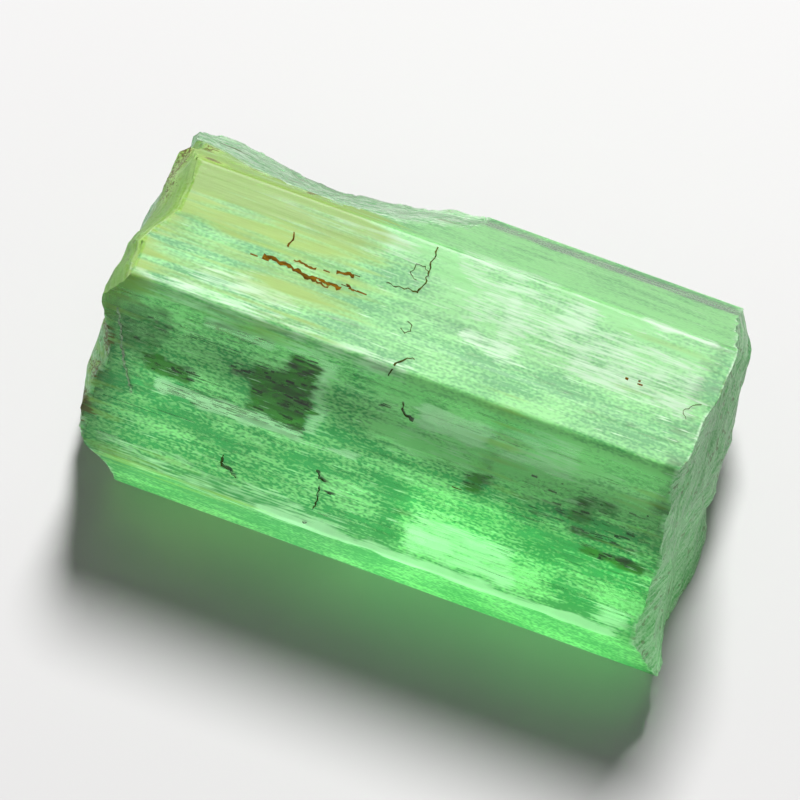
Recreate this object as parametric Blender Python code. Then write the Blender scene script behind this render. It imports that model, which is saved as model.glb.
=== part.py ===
"""A rough emerald: one six-sided beryl crystal, broken off at both ends, lying on a prism face.

The crystal's long axis, its c axis, runs along X, the face that it lies on is the plane z = 0,
and -Y is the front. Units are metres, +Z is up, and the origin is at the middle of the face
that it lies on, under the middle of its box.
"""

import math
import random
from collections import namedtuple

import bmesh
import bpy
from mathutils import Matrix, Vector, noise

MM = 0.001

# Sizes of the whole crystal. WIDTH is across Y and follows from the faces below.
LENGTH = 15.2 * MM
AXIS_HEIGHT = 4.26 * MM

# One face of the six-sided prism, or of the narrow prism that cuts off two of its edges.
# turn: degrees that its normal is turned up from the front, -Y, about the c axis.
# distance: from the c axis. ledges: how many growth ledges run along it.
PrismFace = namedtuple("PrismFace", "name turn distance ledges")
PRISM_FACES = (
    PrismFace("front_edge", 0, 4.73 * MM, 3),
    PrismFace("front_upper", 30, 3.66 * MM, 8),
    PrismFace("top", 90, 4.26 * MM, 5),
    PrismFace("back_upper", 150, 3.61 * MM, 6),
    PrismFace("back_edge", 180, 4.62 * MM, 1),
    PrismFace("back_lower", 210, 4.59 * MM, 5),
    PrismFace("bottom", 270, AXIS_HEIGHT, 1),
    PrismFace("front_lower", 330, 5.40 * MM, 4),
)

# Growth ledges: how deep each is sunk at most, and the run of the riser between two.
LEDGE_DEPTH = 0.055 * MM
LEDGE_RISER = 0.05 * MM
LEDGE_SEED = 11

# A chip along the rim of a broken end, which slopes the rim back from the face of the break.
# turn and spread: where it lies round the c axis, and half of its width there, in degrees.
# depth: how far it reaches in from the prism faces. fall: how steeply it slopes, x over depth.
RimChip = namedtuple("RimChip", "turn spread depth fall")
LEFT_RIM = (
    RimChip(104, 32, 1.05 * MM, 0.75),
    RimChip(148, 22, 0.75 * MM, 1.0),
    RimChip(72, 14, 0.6 * MM, 0.8),
    RimChip(28, 26, 0.95 * MM, 0.55),
    RimChip(-34, 26, 0.95 * MM, 1.4),
    RimChip(215, 30, 0.6 * MM, 0.9),
    RimChip(308, 20, 0.7 * MM, 0.8),
)
RIGHT_RIM = (
    RimChip(196, 34, 1.0 * MM, 0.45),
    RimChip(62, 10, 0.4 * MM, 0.6),
    RimChip(0, 32, 0.8 * MM, 0.5),
    RimChip(228, 12, 0.5 * MM, 0.5),
    RimChip(263, 7, 0.45 * MM, 0.6),
    RimChip(312, 14, 0.5 * MM, 0.5),
)

# A break across the crystal. x: where it crosses the c axis. side: the side of X that is
# broken away, -1 or 1. lean_y, lean_z: its slopes. twist: how its slopes change across it.
# seed: of its relief. chips: the chips along its rim.
Break = namedtuple("Break", "name x side lean_y lean_z twist seed chips")
LEFT_BREAK = Break("left_break", -7.62 * MM, -1, 0.012, 0.07, 0.0, 3.1, LEFT_RIM)
RIGHT_BREAK = Break("right_break", 7.48 * MM, 1, -0.062, 0.012, 0.024 / MM, 8.4, RIGHT_RIM)

# Relief of the breaks: broad swells, and terraces that follow the basal parting.
SWELL_SIZE = 3.4 * MM
SWELL_HEIGHT = 0.30 * MM
TERRACE_STEP = 0.16 * MM
HACKLE_SIZE = 0.85 * MM
HACKLE_HEIGHT = 0.10 * MM
BREAK_CELL = 0.24 * MM

# The scoop that is broken out of the upper back edge, left of the middle. Stations along X,
# each with the depth of the scoop at the widest edge. Between stations the depth runs
# straight, and up the back face it runs out to nothing at the top edge.
SCOOP_STATIONS = (
    (-8.8 * MM, 0.45 * MM),
    (-6.55 * MM, 0.47 * MM),
    (-5.75 * MM, 0.60 * MM),
    (-4.80 * MM, 0.77 * MM),
    (-3.90 * MM, 0.81 * MM),
    (-2.90 * MM, 0.70 * MM),
    (-1.85 * MM, 0.55 * MM),
    (-0.85 * MM, 0.27 * MM),
    (-0.30 * MM, 0.20 * MM),
    (0.05 * MM, 0.08 * MM),
    (0.30 * MM, -0.25 * MM),
    (1.2 * MM, -0.70 * MM),
)
SCOOP_CELL = 0.26 * MM
SCOOP_RIPPLE = 0.045 * MM

CUTTER_MARGIN = 1.5 * MM


def clear_scene():
    for obj in list(bpy.data.objects):
        bpy.data.objects.remove(obj, do_unlink=True)


def new_collection(name):
    collection = bpy.data.collections.new(name)
    bpy.context.scene.collection.children.link(collection)
    return collection


def emerald_material():
    material = bpy.data.materials.new("emerald")
    material.use_nodes = True
    shader = material.node_tree.nodes["Principled BSDF"]
    shader.inputs["Base Color"].default_value = (0.16, 0.58, 0.24, 1.0)
    shader.inputs["Roughness"].default_value = 0.18
    shader.inputs["Metallic"].default_value = 0.0
    shader.inputs["IOR"].default_value = 1.58
    shader.inputs["Transmission Weight"].default_value = 0.8
    return material


def face_normal(face):
    """The face's outward normal in the (y, z) plane."""
    turn = math.radians(face.turn)
    return Vector((-math.cos(turn), math.sin(turn)))


def inset(point):
    """How far a (y, z) point, measured from the c axis, lies inside the nearest prism face."""
    return min(face.distance - face_normal(face).dot(point) for face in PRISM_FACES)


def corner(face, following):
    """Where two neighbouring prism faces meet, as (y, z) from the c axis."""
    a, b = face_normal(face), face_normal(following)
    return Matrix((a, b)).inverted() @ Vector((face.distance, following.distance))


def ledged_face(start, end, face, rng):
    """Points along one prism face from start to end, stepped by its growth ledges."""
    length = (end - start).length
    along = (end - start) / length
    inward = -face_normal(face)
    points = [start]
    sunk = 0.0
    for ledge in range(1, face.ledges):
        middle = length * (ledge + rng.uniform(-0.3, 0.3)) / face.ledges
        last = ledge == face.ledges - 1
        next_sunk = 0.0 if last else rng.uniform(0.15, 1.0) * LEDGE_DEPTH
        points.append(start + along * (middle - LEDGE_RISER / 2) + inward * sunk)
        points.append(start + along * (middle + LEDGE_RISER / 2) + inward * next_sunk)
        sunk = next_sunk
    return points


def prism_outline():
    """The cross-section, as (y, z) points round the c axis."""
    rng = random.Random(LEDGE_SEED)
    count = len(PRISM_FACES)
    corners = [corner(PRISM_FACES[i - 1], PRISM_FACES[i]) for i in range(count)]
    points = []
    for i, face in enumerate(PRISM_FACES):
        points += ledged_face(corners[i], corners[(i + 1) % count], face, rng)
    return [point + Vector((0.0, AXIS_HEIGHT)) for point in points]


def prism(collection):
    """The whole six-sided prism, longer than the crystal, as a closed mesh."""
    curve = bpy.data.curves.new("prism_outline", "CURVE")
    curve.dimensions = "2D"
    curve.fill_mode = "BOTH"
    curve.extrude = LENGTH / 2 + CUTTER_MARGIN
    outline = prism_outline()
    spline = curve.splines.new("POLY")
    spline.points.add(len(outline) - 1)
    for point, (y, z) in zip(spline.points, outline):
        point.co = (y, z, 0.0, 1.0)
    spline.use_cyclic_u = True

    drawn = bpy.data.objects.new("prism_outline", curve)
    drawn.rotation_euler = (math.radians(90), 0.0, math.radians(90))
    collection.objects.link(drawn)
    bpy.context.view_layer.update()
    evaluated = drawn.evaluated_get(bpy.context.evaluated_depsgraph_get())
    mesh = bpy.data.meshes.new_from_object(evaluated)
    mesh.transform(drawn.matrix_world)
    bpy.data.objects.remove(drawn, do_unlink=True)
    close_mesh(mesh)

    crystal = bpy.data.objects.new("emerald_crystal", mesh)
    collection.objects.link(crystal)
    return crystal


def close_mesh(mesh):
    shape = bmesh.new()
    shape.from_mesh(mesh)
    bmesh.ops.remove_doubles(shape, verts=shape.verts, dist=0.001 * MM)
    bmesh.ops.recalc_face_normals(shape, faces=shape.faces)
    shape.to_mesh(mesh)
    shape.free()


def block_cutter(name, cell, sides, place, back, collection):
    """A closed block whose near side is a relief.

    sides is the extent of its grid, place(u, v) gives a point of the relief, and back moves
    a point of the relief out to the block's far side.
    """
    (u_low, u_high), (v_low, v_high) = sides
    shape = bmesh.new()
    bmesh.ops.create_grid(
        shape,
        x_segments=math.ceil((u_high - u_low) / cell),
        y_segments=math.ceil((v_high - v_low) / cell),
        size=0.5,
    )
    for vert in shape.verts:
        u = u_low + (vert.co.x + 0.5) * (u_high - u_low)
        v = v_low + (vert.co.y + 0.5) * (v_high - v_low)
        vert.co = place(u, v)
    grown = bmesh.ops.extrude_face_region(shape, geom=shape.faces[:])
    for item in grown["geom"]:
        if isinstance(item, bmesh.types.BMVert):
            item.co = back(item.co)
    bmesh.ops.recalc_face_normals(shape, faces=shape.faces)
    mesh = bpy.data.meshes.new(name)
    shape.to_mesh(mesh)
    shape.free()

    cutter = bpy.data.objects.new(name, mesh)
    cutter.hide_render = True
    cutter.display_type = "WIRE"
    collection.objects.link(cutter)
    return cutter


def terraced(height):
    """The height drawn towards the nearest terrace, so that flats and short risers show."""
    level = height / TERRACE_STEP
    flat = math.floor(level)
    rise = level - flat
    return (flat + rise ** 3 * (rise * (6 * rise - 15) + 10)) * TERRACE_STEP


def fracture_relief(y, z, seed):
    """Height of a broken surface above its plane: terraced swells with fine hackle."""
    swell = noise.noise(Vector((y, z, 0.0)) / SWELL_SIZE + Vector((seed, 0.0, 0.0)))
    fine = noise.fractal(
        Vector((y, z, 0.0)) / HACKLE_SIZE + Vector((0.0, seed, 0.0)), 0.9, 2.1, 3
    )
    return terraced(swell * SWELL_HEIGHT * 2) + fine * HACKLE_HEIGHT


def rim_retreat(y, z, chips):
    """How far the rim's chips carry a broken end back into the crystal at (y, z)."""
    turn = math.degrees(math.atan2(z, -y))
    depth = inset(Vector((y, z)))
    retreat = 0.0
    for chip in chips:
        off = abs((turn - chip.turn + 180) % 360 - 180) / chip.spread
        reach = chip.depth * (1 - off * off) if off < 1 else 0.0
        retreat = max(retreat, (reach - depth) * chip.fall)
    return retreat


def end_cutter(broken, collection):
    """Cuts the crystal off across its axis, along a break."""

    def place(y, z):
        x = broken.x + broken.lean_y * y + broken.lean_z * z + broken.twist * y * z
        x += broken.side * fracture_relief(y, z, broken.seed)
        x -= broken.side * rim_retreat(y, z, broken.chips)
        return Vector((x, y, z + AXIS_HEIGHT))

    def back(point):
        return Vector((broken.side * (LENGTH / 2 + 3 * CUTTER_MARGIN), point.y, point.z))

    reach = 5.0 * MM + CUTTER_MARGIN
    sides = ((-reach, reach), (-reach, reach))
    return block_cutter(broken.name, BREAK_CELL, sides, place, back, collection)


def scoop_depth(x):
    """Depth of the scoop at x, read between SCOOP_STATIONS."""
    for (x0, depth0), (x1, depth1) in zip(SCOOP_STATIONS, SCOOP_STATIONS[1:]):
        if x <= x1:
            share = (x - x0) / (x1 - x0)
            return depth0 + share * (depth1 - depth0)
    return SCOOP_STATIONS[-1][1]


def scoop_cutter(collection):
    """Breaks the scoop out of the upper back edge: all that lies behind its wall."""
    faces = {face.name: face for face in PRISM_FACES}
    back_upper = faces["back_upper"]
    normal = face_normal(back_upper)
    top = AXIS_HEIGHT
    widest = (back_upper.distance - normal.x * faces["back_edge"].distance) / normal.y

    def place(x, z):
        face_y = (back_upper.distance - normal.y * z) / normal.x
        depth = scoop_depth(x) * (top - z) / (top - widest)
        ripple = noise.fractal(Vector((x, 0.0, z)) / HACKLE_SIZE, 0.9, 2.1, 3)
        return Vector((x, face_y - depth + ripple * SCOOP_RIPPLE, z + AXIS_HEIGHT))

    def back(point):
        return Vector((point.x, 3 * AXIS_HEIGHT, point.z))

    sides = (
        (-LENGTH / 2 - CUTTER_MARGIN, SCOOP_STATIONS[-1][0]),
        (-AXIS_HEIGHT - CUTTER_MARGIN, AXIS_HEIGHT + CUTTER_MARGIN),
    )
    return block_cutter("scoop_cutter", SCOOP_CELL, sides, place, back, collection)


def cut(crystal, cutter):
    modifier = crystal.modifiers.new(cutter.name, "BOOLEAN")
    modifier.operation = "DIFFERENCE"
    modifier.solver = "EXACT"
    modifier.object = cutter


def stand_on_origin(crystal, cutters):
    """Moves everything so that the origin is under the middle of the finished crystal."""
    bpy.context.view_layer.update()
    evaluated = crystal.evaluated_get(bpy.context.evaluated_depsgraph_get())
    corners = [Vector(corner_point) for corner_point in evaluated.bound_box]
    middle_x = (corners[0].x + corners[6].x) / 2
    middle_y = (corners[0].y + corners[6].y) / 2
    for obj in (crystal, *cutters):
        obj.data.transform(Matrix.Translation((-middle_x, -middle_y, 0.0)))


def main():
    clear_scene()
    emerald = new_collection("emerald_crystal")
    cutting = new_collection("cutters")
    crystal = prism(emerald)
    cutters = (
        end_cutter(LEFT_BREAK, cutting),
        end_cutter(RIGHT_BREAK, cutting),
        scoop_cutter(cutting),
    )
    for cutter in cutters:
        cut(crystal, cutter)
    crystal.data.materials.append(emerald_material())
    stand_on_origin(crystal, cutters)


main()
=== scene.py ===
"""Looks of a rough emerald crystal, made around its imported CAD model.

The crystal is one six-sided prism of beryl that lies on a prism face, with its c axis along X.
Its surface is made from the CAD solid: the prism faces get fine growth striations along the
c axis, and the breaks get finer hackle. What shows in it and on it is made as meshes: growth
tubes, dark flakes, iron films, rust veins and cracks. Lengths are in metres unless a comment
says mm.
"""

import math
import random
from typing import NamedTuple

import bmesh
import bpy
import numpy as np
from bpy.props import FloatProperty, FloatVectorProperty, IntProperty, PointerProperty
from bpy.types import Operator, Panel, PropertyGroup
from mathutils import Matrix, Vector, noise
from mathutils.bvhtree import BVHTree


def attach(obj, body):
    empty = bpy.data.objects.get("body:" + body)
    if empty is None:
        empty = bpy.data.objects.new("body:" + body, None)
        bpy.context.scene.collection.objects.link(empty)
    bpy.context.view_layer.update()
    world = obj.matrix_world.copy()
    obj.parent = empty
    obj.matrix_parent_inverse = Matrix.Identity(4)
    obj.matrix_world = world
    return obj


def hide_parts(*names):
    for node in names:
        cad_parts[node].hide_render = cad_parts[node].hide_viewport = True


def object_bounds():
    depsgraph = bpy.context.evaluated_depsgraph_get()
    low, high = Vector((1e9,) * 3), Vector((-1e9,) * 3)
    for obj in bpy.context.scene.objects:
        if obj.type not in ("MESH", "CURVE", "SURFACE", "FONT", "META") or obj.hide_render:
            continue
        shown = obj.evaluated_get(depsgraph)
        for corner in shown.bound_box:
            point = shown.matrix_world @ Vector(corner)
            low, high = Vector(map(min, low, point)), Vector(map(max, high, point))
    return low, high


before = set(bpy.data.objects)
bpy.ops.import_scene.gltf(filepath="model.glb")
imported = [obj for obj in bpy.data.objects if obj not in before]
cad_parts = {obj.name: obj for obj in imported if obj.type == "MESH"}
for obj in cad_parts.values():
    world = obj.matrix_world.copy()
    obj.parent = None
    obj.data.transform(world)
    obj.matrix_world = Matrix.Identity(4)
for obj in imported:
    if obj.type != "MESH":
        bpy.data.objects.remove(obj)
CAD_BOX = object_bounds()

bl_info = {
    "name": "Emerald Crystal",
    "version": (1, 0, 0),
    "blender": (4, 5, 0),
    "location": "View3D > Sidebar > Emerald",
    "description": "Makes a rough emerald crystal with its striations, inclusions and stage",
    "category": "Add Mesh",
}

MM = 0.001
NODE = "emerald_crystal"
BODY = "root"

# Each prism face: the turn of its normal in degrees, up from the front (-Y) about the c axis,
# and the face on whose edge its places are measured from.
PRISM_FACES = {
    "front_edge": (0, "front_upper"),
    "front_upper": (30, "top"),
    "top": (90, "back_upper"),
    "back_upper": (150, "top"),
    "back_edge": (180, "back_upper"),
    "back_lower": (210, "back_edge"),
    "bottom": (270, "front_lower"),
    "front_lower": (330, "front_edge"),
}


# What colours the crystal from place to place: patches of the prism faces, by face and kind, as
# (x from, x to, down from, down to, strength), in mm along c and across the face. etched is
# crystal under a dull, etched face, clear is clear and light, dense is full of fine inclusions,
# pale is feathery crystal that light fills, and in some narrow lines along edges a painted
# highlight, deep is dark green, warm is iron-tinted crystal, and rust is iron on the surface.
ZONES = {
    ("top", "etched"): ((-8.5, 8.5, -0.5, 4, 1),),
    ("top", "clear"): ((-8.5, 8.5, -0.5, 4, 0.5), (0.3, 7.2, -0.3, 1.8, 0.4)),
    ("top", "dense"): (
        (2.7, 3.5, 2.4, 3, 0.8), (-8, -0.3, 0.9, 2.1, 0.5), (-4.5, -1.6, 1.2, 2, 0.45),
        (-8, 7.4, 2.1, 3.6, 0.55), (0.3, 7.2, 2.36, 2.56, 0.6), (5.3, 7.2, 2.6, 2.95, 0.6),
        (7.2, 7.7, 0.2, 3.5, 0.8),
    ),
    # The narrow pale patches just under the edge with back_upper, at x -4.9 to -1 and 5.2 to 7.3,
    # are painted highlights: the bright line along that edge.
    ("top", "pale"): (
        (0.6, 7.2, 0.3, 1.5, 0.2), (0.3, 4.1, -0.1, 0.5, 0.35), (3.3, 4.1, 0.3, 1, 0.35),
        (1, 2.7, 1.85, 2.3, 0.6), (-6.8, -0.4, 0.1, 0.8, 0.35), (-4.9, -3.9, 0.2, 0.45, 0.8),
        (-2.9, -2.1, 0.12, 0.28, 1), (-1.8, -1, 0.2, 0.42, 1), (-6, -3.2, 2.3, 3.3, 0.3),
        (1, 2.4, 0.4, 1.6, 0.35), (3.9, 7.2, 1.6, 2.3, 0.35), (5.2, 7.3, -0.02, 0.13, 1),
        (-5.5, -2.8, 2.6, 3, 0.4), (2, 7.3, 0.7, 2, 0.35),
    ),
    ("top", "deep"): (
        (-3.2, -0.9, 2.66, 2.8, 0.45), (-5.6, -1, 1.58, 1.72, 0.4), (1.2, 7.1, 2.42, 2.54, 0.45),
        (4.5, 7.1, 2.74, 2.86, 0.5), (6.95, 7.7, -0.2, 3.5, 0.35),
    ),
    ("top", "warm"): (
        (-8.5, -6.9, -0.5, 4, 0.8), (-7.5, -2, -0.3, 1.2, 0.2), (-8, -1.2, 1.2, 3.6, 0.3),
        (-6.2, -2, 2, 3.3, 0.2), (-4.2, -2.6, 2, 2.6, 0.25), (2.7, 3.5, 2.4, 3.1, 0.2),
        (5, 7.3, 0.2, 1.8, 0.2), (5, 6, 1.5, 1.8, 0.35),
    ),
    ("top", "rust"): ((-7.3, -6.9, 0.3, 1.2, 0.45),),
    ("front_upper", "clear"): (
        (-8.5, 8.5, -0.4, 1.2, 0.5), (-0.3, 7.5, -0.2, 2.4, 1), (0.8, 4.6, 4.2, 6.2, 0.3),
        (2.4, 5, 1.2, 2.4, 0.6),
    ),
    ("front_upper", "dense"): (
        (-8.5, 0.3, 2.9, 7, 0.5), (-6.9, -4.2, 3, 4.4, 0.7), (-1.4, 0.2, 0.8, 2.8, 0.5),
        (-0.1, 1.6, -0.2, 1.2, 0.6), (-2, 7.6, 2.6, 3.9, 0.5), (3.6, 7.6, 2.5, 4.3, 0.7),
        (3.9, 7.3, 1.8, 3, 0.35), (0.3, 1, 3.6, 6, 0.95), (5.1, 6.3, 3.8, 6, 0.7),
    ),
    ("front_upper", "pale"): (
        (-8.5, 0.3, -0.4, 0.5, 0.45), (-4.9, -3.1, 0.5, 0.75, 0.9), (-3, -1.95, 0.45, 0.65, 0.5),
        (-5.8, -1.9, 2.95, 3.35, 1), (-1.4, -0.3, 3.05, 3.3, 0.6), (-1.95, -1.45, 0.5, 3, 0.6),
        (0.8, 2.65, 0.75, 1.45, 0.95), (0.3, 2.6, 1.3, 2.6, 0.35), (2.8, 5, 0.3, 1.6, 0.5),
        (1.2, 4.1, 4.2, 5.6, 0.5), (2.6, 3.7, 4.45, 4.75, 0.6), (2.5, 4.3, 5.2, 5.4, 0.7),
        (1.3, 2.4, 4.8, 5.15, 1), (1, 4, 5.75, 5.95, 0.9), (6.3, 7.3, 4.9, 5.6, 0.6),
        (-7, -0.2, 5.2, 6.2, 0.4), (-0.8, -0.2, 0.05, 0.25, 0.8),
    ),
    ("front_upper", "deep"): (
        (-2.8, -1.8, 0.7, 3, 1), (-3.5, -2.5, 1.3, 2.9, 0.9), (-4, -3.5, 1.6, 2, 0.7),
        (-7, -5.7, 0.8, 2.5, 0.6), (-6.4, -4.9, 2.3, 2.85, 0.9), (-6.2, -5.8, 3.1, 3.3, 0.8),
        (2.3, 2.95, 2.2, 3, 0.8), (4.9, 5.7, 1.8, 2.8, 0.7), (5.7, 6.3, 1.8, 2.2, 0.7),
        (5.1, 6.8, 2.95, 3.1, 0.9), (5.5, 7.2, 3.35, 3.65, 0.95), (0.8, 1.4, 4.3, 4.5, 0.7),
        (2.65, 2.95, 0.2, 2.6, 0.45), (-5.2, -2.6, 0.12, 0.3, 0.6), (6.9, 7.7, -0.2, 7, 0.35),
        (6.9, 7.4, 1.2, 1.5, 0.6),
    ),
    ("front_upper", "warm"): (
        (-4.1, -3.1, 0, 0.8, 0.4), (-8, -7, -0.3, 4.8, 0.6), (2.65, 3.6, 0, 2.6, 0.5),
        (6.3, 7.4, 0.8, 3, 0.35), (-7.2, -2.5, 5.3, 6.4, 0.4),
    ),
    ("front_upper", "rust"): (
        (-7.9, -7.35, 4.2, 4.8, 0.65), (-7.8, -7.2, 4.6, 5.3, 0.45), (-7.6, -7.1, 1.8, 2.9, 0.7),
        (-7.7, -7.3, 3.2, 3.9, 0.5), (2.05, 2.3, 2.98, 3.1, 0.9), (6.9, 7.3, 2.3, 2.7, 0.35),
    ),
    ("front_edge", "etched"): ((-8.5, 8.5, -0.6, 4, 0.3),),
    ("front_edge", "dense"): ((-8.5, 8.5, -0.6, 4, 0.5),),
    # A painted highlight: a thin pale line along the edge with front_upper.
    ("front_edge", "pale"): ((-2.5, 6.8, -0.2, 0.08, 1),),
    ("back_upper", "etched"): ((-8.5, 8.5, -4.5, 0.5, 0.85),),
    ("back_upper", "clear"): ((-8.5, 8.5, -4.5, 0.5, 0.6),),
    ("back_upper", "pale"): (
        (0.3, 3, -0.6, 0, 0.45), (-7, -5.6, -1.2, -0.3, 0.6), (-5.2, -4, -1, -0.2, 0.5),
    ),
    ("back_upper", "warm"): (
        (-8.5, -4.2, -3.4, 0.6, 0.5), (-8.5, -2.2, -2.4, 0.6, 0.4), (-8.5, -1.2, -1.2, 0.6, 0.6),
        (-8.5, -6.4, -3.8, 0.2, 0.8),
    ),
    ("back_upper", "rust"): (
        (-7.4, -6.9, -2, -0.6, 0.6), (-5.7, -5.1, -3, -2.2, 0.6), (-4.95, -4.6, -2.9, -1.9, 0.8),
        (-4.1, -3.6, -2.4, -0.9, 0.8), (-7, -6.6, -3.4, -2, 0.6), (-6.6, -5.9, -0.5, -0.1, 0.6),
    ),
    ("back_edge", "etched"): ((-8.5, 8.5, -6, 6, 1),),
    ("back_lower", "pale"): ((-8.5, 8.5, -1, 7, 0.7), (-0.3, 8.5, -1, 7, 0.9)),
    ("bottom", "etched"): ((-8.5, 8.5, -9, 9, 0.9),),
    ("bottom", "pale"): ((-8.5, 8.5, -9, 9, 0.8),),
}
# The kinds are the channels of two attributes. "broken" is worked out from the shape.
ZONE_KINDS = ("pale", "deep", "warm", "rust", "clear", "dense", "broken", "etched")
ZONE_SOFTNESS = (0.45, 0.3)     # mm over which a zone's ends and its sides fade
WARM_SOFTNESS = (2.0, 1.0)      # the same, for iron-tinted crystal
ZONE_RAGS = (0.7, 0.16)         # mm that a zone's ends and its sides wander
ZONE_DEPTH = (0.1, 0.4)         # mm under its face, where a zone starts to fade and ends
STAINS = ("warm", "rust")       # these go deeper into the breaks, to the next depths
STAIN_DEPTH = (1.6, 3.6)
BERYL_INDEX = 1.58
LIQUID_INDEX = 1.33             # of the liquid in the growth tubes


# ------------------ colours and nodes

def linear(hex_colour):
    """An sRGB hex colour, such as "50c878", as linear RGBA."""
    values = [int(hex_colour[i:i + 2], 16) / 255 for i in (0, 2, 4)]
    rgb = [v / 12.92 if v <= 0.04045 else ((v + 0.055) / 1.055) ** 2.4 for v in values]
    return (*rgb, 1.0)


def feed(node, inputs):
    """Gives inputs of a node, by name or number, a value or another node's output each."""
    for name, value in inputs.items():
        if isinstance(value, bpy.types.NodeSocket):
            node.id_data.links.new(value, node.inputs[name])
        else:
            node.inputs[name].default_value = value


def add_node(tree, kind, inputs=None, out=0, **settings):
    """Adds a node with its settings and links. Returns its output out, or it if out is None."""
    node = tree.nodes.new(kind)
    for name, value in settings.items():
        setattr(node, name, value)
    feed(node, inputs or {})
    return node if out is None else node.outputs[out]


def new_material(name):
    """A new material, its node tree and its Principled shader."""
    material = bpy.data.materials.new(name)
    material.use_nodes = True
    return material, material.node_tree, material.node_tree.nodes["Principled BSDF"]


def weighted_sum(tree, start, terms, clamp=False):
    """start, and each value of the (value, weight) terms times its weight, added up."""
    total = start
    for number, (value, weight) in enumerate(terms, 1):
        total = add_node(tree, "ShaderNodeMath", {0: value, 1: weight, 2: total},
                         operation="MULTIPLY_ADD", use_clamp=clamp and number == len(terms))
    return total


def layered(tree, base, layers):
    """base under (factor, colour) layers, each of which covers what is below by its factor."""
    below, above, result = 6, 7, 2      # the Mix node's sockets for colours
    for factor, colour in layers:
        base = add_node(tree, "ShaderNodeMix", {0: factor, below: base, above: colour}, result,
                        data_type="RGBA")
    return base


def zone_mask(tree, strength, texture, softness):
    """Where a zone shows: the texture's lowest parts are left out where the zone is weak."""
    reach = weighted_sum(tree, texture, ((strength, 1.0 + softness),))
    return add_node(tree, "ShaderNodeMapRange", {0: reach, 1: 1.0, 2: 1.0 + softness})


def stretched(tree, size):
    """Object coordinates divided by size, in mm, so that a pattern's cells are that big."""
    coordinates = add_node(tree, "ShaderNodeTexCoord", out="Object")
    scale = [1 / (length * MM) for length in size]
    return add_node(tree, "ShaderNodeVectorMath", {0: coordinates, 1: scale}, operation="MULTIPLY")


def noise_field(tree, size, detail=1.0, low=0.3, high=0.7):
    """Noise whose cells are size, in mm, with its range from low to high spread over 0 to 1."""
    texture = add_node(tree, "ShaderNodeTexNoise", {
        "Vector": stretched(tree, size), "Scale": 1.0, "Detail": detail, "Roughness": 0.55})
    return add_node(tree, "ShaderNodeMapRange", {0: texture, 1: low, 2: high})


def column_field(tree, width, length):
    """Random values of 0 to 1 in columns along c, each cut across into pieces. Sizes are in mm.

    A column has 0.5 to 2.1 pieces in each length, which start anywhere along it.
    """
    endless, fewest, more, shift = 400.0, 0.5, 1.6, 9.0
    cells = add_node(tree, "ShaderNodeTexVoronoi", {
        "Vector": stretched(tree, (endless, width, width)), "Scale": 1.0}, out="Color")
    parts = add_node(tree, "ShaderNodeSeparateColor", {0: cells}, out=None).outputs
    along = add_node(tree, "ShaderNodeSeparateXYZ", {0: stretched(tree, (length, 1.0, 1.0))})
    rate = weighted_sum(tree, fewest, ((parts[1], more),))
    along = add_node(tree, "ShaderNodeMath", {0: along, 1: rate}, operation="MULTIPLY")
    along = weighted_sum(tree, along, ((parts[0], shift),))
    piece = add_node(tree, "ShaderNodeMath", {0: along}, operation="FLOOR")
    key = add_node(tree, "ShaderNodeCombineXYZ", {0: parts[0], 1: parts[2], 2: piece})
    return add_node(tree, "ShaderNodeTexWhiteNoise", {"Vector": key})


# ------------------ the prism faces

class Face(NamedTuple):
    """A prism face: its outward normal, the way across it, and a point on its first edge."""

    normal: Vector
    down: Vector
    edge: Vector

    def place(self):
        """Matrix from (x, down, depth under the face), in mm, to the crystal."""
        matrix = Matrix((Vector((1.0, 0.0, 0.0)), self.down, -self.normal)).transposed().to_4x4()
        matrix.translation = self.edge
        return matrix @ Matrix.Diagonal((MM, MM, MM, 1.0))


def merged_copy(node_name):
    """A bmesh of a CAD node with its loose triangles joined up."""
    shape = bmesh.new()
    shape.from_mesh(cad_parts[node_name].data)
    bmesh.ops.remove_doubles(shape, verts=shape.verts, dist=0.001 * MM)
    return shape


def crossing(normal, distance, other, other_distance):
    """The point at x 0 where two planes along c cross."""
    normals = Matrix(((normal.y, normal.z), (other.y, other.z)))
    return Vector((0.0, *(normals.inverted() @ Vector((distance, other_distance)))))


def prism_faces(shape):
    """Name to Face of each prism face, read off the solid."""
    planes = {}
    for name, (turn, _) in PRISM_FACES.items():
        angle = math.radians(turn)
        normal = Vector((0.0, -math.cos(angle), math.sin(angle)))
        planes[name] = (normal, max(normal.dot(vert.co) for vert in shape.verts))
    faces = {}
    for name, plane in planes.items():
        down = Vector((0.0, -plane[0].z, plane[0].y))
        faces[name] = Face(plane[0], down, crossing(*plane, *planes[PRISM_FACES[name][1]]))
    return faces


def inset_of(faces, point):
    """How far a point lies inside the nearest prism face."""
    return min(face.normal.dot(face.edge - point) for face in faces.values())


# ------------------ the crystal's surface

WEAR_ROUNDS = 3
WORN_TURN = math.radians(12)    # corners sharper than this are worn
LEDGE_WIDTHS = (1, 1, 1, 2, 2, 3)  # striations, drawn at random
LEDGE_START = 0.1               # the next three are shares of the crystal's length
LEDGE_RUN = (0.06, 0.45)
LEDGE_GAP = 0.2
PROBE = 0.1 * MM                # how far outside the prism a ray at the solid starts
OVERHANG = 1.0 * MM             # how much longer than the solid the striated tube is
SWELL_SIZE = (2.6, 0.5)         # mm, of the slow waves along c and across it
BREAK_SLANT = 0.3               # least x of the normal of a break across the prism
HACKLE_STRETCH = 0.6
HACKLE_FRACTAL = (0.8, 2.2, 4)  # dimension, lacunarity and octaves
BREAK_FADE = 0.15 * MM          # depth over which a face turns into a break
SLANT_FADE = (0.25, 0.3)        # the same: the least x of a normal, and over how much
CREASE = math.radians(24)       # edges sharper than this stay sharp


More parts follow.
